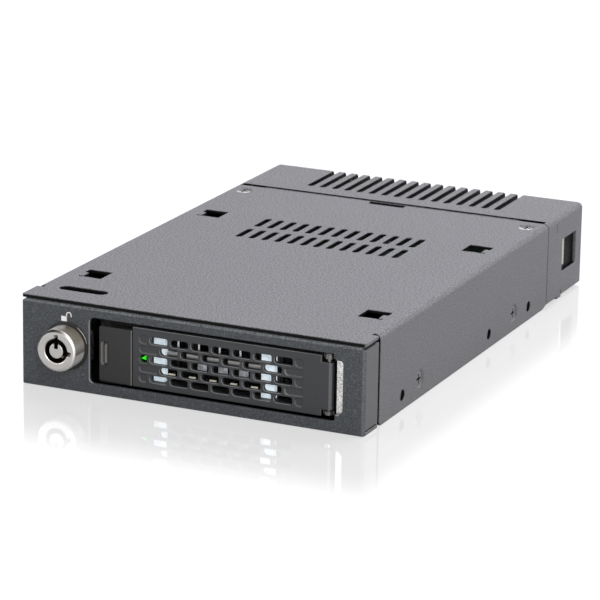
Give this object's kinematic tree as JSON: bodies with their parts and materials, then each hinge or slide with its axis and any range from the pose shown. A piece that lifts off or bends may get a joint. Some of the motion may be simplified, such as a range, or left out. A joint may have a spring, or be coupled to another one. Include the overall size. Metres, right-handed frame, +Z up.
{
  "type": "hot swap drive cage",
  "caption": "Steel cage that fills one 3.5-inch bay and takes a 2.5-inch drive on a removable tray, with a pierced lever door, a release button and a ring-key lock.",
  "frame": {"origin": "on the bottom, under the middle of the bounding box", "axes": "+X to the cage's right seen from the front, +Y to the rear, +Z up"},
  "size_m": [0.1016, 0.1704, 0.0254],
  "materials": {
    "cover_paint": "fine matt powder coat",
    "bezel_paint": "speckled powder coat",
    "door_paint": "matt powder coat",
    "galvanised_steel": "galvanised, speckled",
    "zinc_screw": "bright zinc",
    "painted_screw": "painted over",
    "black_moulding": "moulded, fine texture",
    "button_moulding": "moulded, matt",
    "nickel": "satin nickel plate",
    "dark_steel": "dark steel",
    "rubber": "matt",
    "white_moulding": "frosted",
    "green_lens": "lit lens",
    "green_board": "solder mask",
    "brass": "turned",
    "gold_contact": "gold flash",
    "cream_moulding": "moulded"
  },
  "bodies": {
    "cage": {"top_cover": "cover_paint", "rear_cover": "cover_paint", "base_tray": "cover_paint", "front_bezel": "bezel_paint", "latch_strike": "galvanised_steel", "strike_screw": "zinc_screw", "guide_rail_right": "black_moulding", "guide_rail_left": "black_moulding", "top_cover_screws": "zinc_screw", "side_screws": "painted_screw", "rail_screws": "zinc_screw", "lock_barrel": "nickel", "lock_nut": "nickel", "lock_washer": "rubber", "backplane_board": "green_board", "board_standoffs": "brass", "board_screws": "zinc_screw", "board_parts": "black_moulding", "drive_connector": "black_moulding", "drive_contacts": "gold_contact", "power_connector": "black_moulding", "power_contacts": "gold_contact", "data_connector": "nickel", "data_port_core": "black_moulding", "side_header": "cream_moulding"},
    "lock_turning": {"lock_plug": "nickel", "lock_pins": "dark_steel", "lock_cam": "galvanised_steel"},
    "tray": {"tray_pan": "galvanised_steel", "tray_frame": "black_moulding", "inner_grille": "galvanised_steel", "light_guides": "white_moulding", "status_led": "green_lens", "hinge_bracket": "galvanised_steel", "hinge_pin": "nickel", "button_spring": "dark_steel"},
    "door": {"lever_door": "door_paint", "door_catch": "galvanised_steel"},
    "button": {"release_button": "button_moulding"}
  },
  "joints": [
    {"name": "tray_slide", "type": "slide", "parent": "cage", "child": "tray", "axis": [0, -1, 0], "range_m": [0, 0.125]},
    {"name": "door_hinge", "type": "hinge", "parent": "tray", "child": "door", "pos_m": [0.0395, -0.07635, 0.0118], "axis": [0, 0, 1], "range_deg": [0, 75]},
    {"name": "button_press", "type": "slide", "parent": "tray", "child": "button", "axis": [0, 1, 0], "range_m": [0, 0.0016], "stiffness_N_per_m": 600, "springref_m": -0.001, "deforming": ["button_spring"]},
    {"name": "lock_turn", "type": "hinge", "parent": "cage", "child": "lock_turning", "pos_m": [-0.03705, -0.07915, 0.0126], "axis": [0, 1, 0], "range_deg": [0, 90]}
  ]
}
